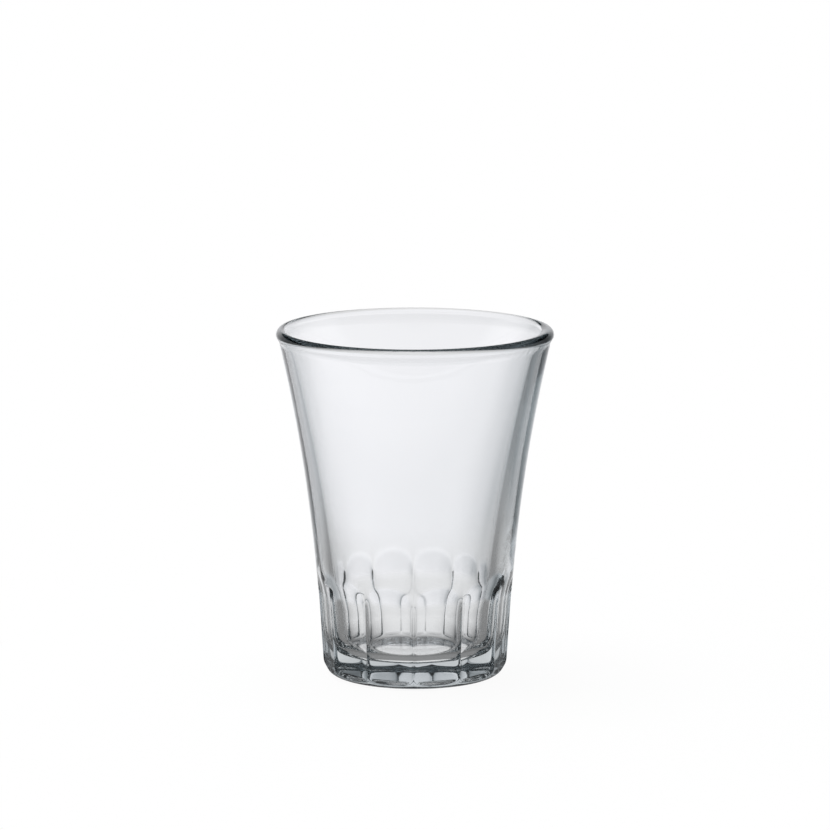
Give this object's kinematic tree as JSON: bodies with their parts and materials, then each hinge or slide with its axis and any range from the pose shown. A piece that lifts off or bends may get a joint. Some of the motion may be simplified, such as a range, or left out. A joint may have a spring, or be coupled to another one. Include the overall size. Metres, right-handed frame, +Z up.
{
  "type": "espresso glass",
  "caption": "Clear pressed glass for espresso: a round tumbler flaring from a heavy panelled foot to a rounded lip, open at the top.",
  "frame": {"origin": "middle of the foot, on the surface that the glass stands on", "axes": "+Z up along the axis of the glass, towards its open mouth; a ridge between two panels faces -Y"},
  "size_m": [0.06, 0.06, 0.076],
  "materials": {
    "clear_glass": "clear tempered soda-lime glass, smooth and fire-polished, with a faint grey-green edge"
  },
  "bodies": {
    "root": {"pressed_glass": "clear_glass"}
  },
  "joints": []
}
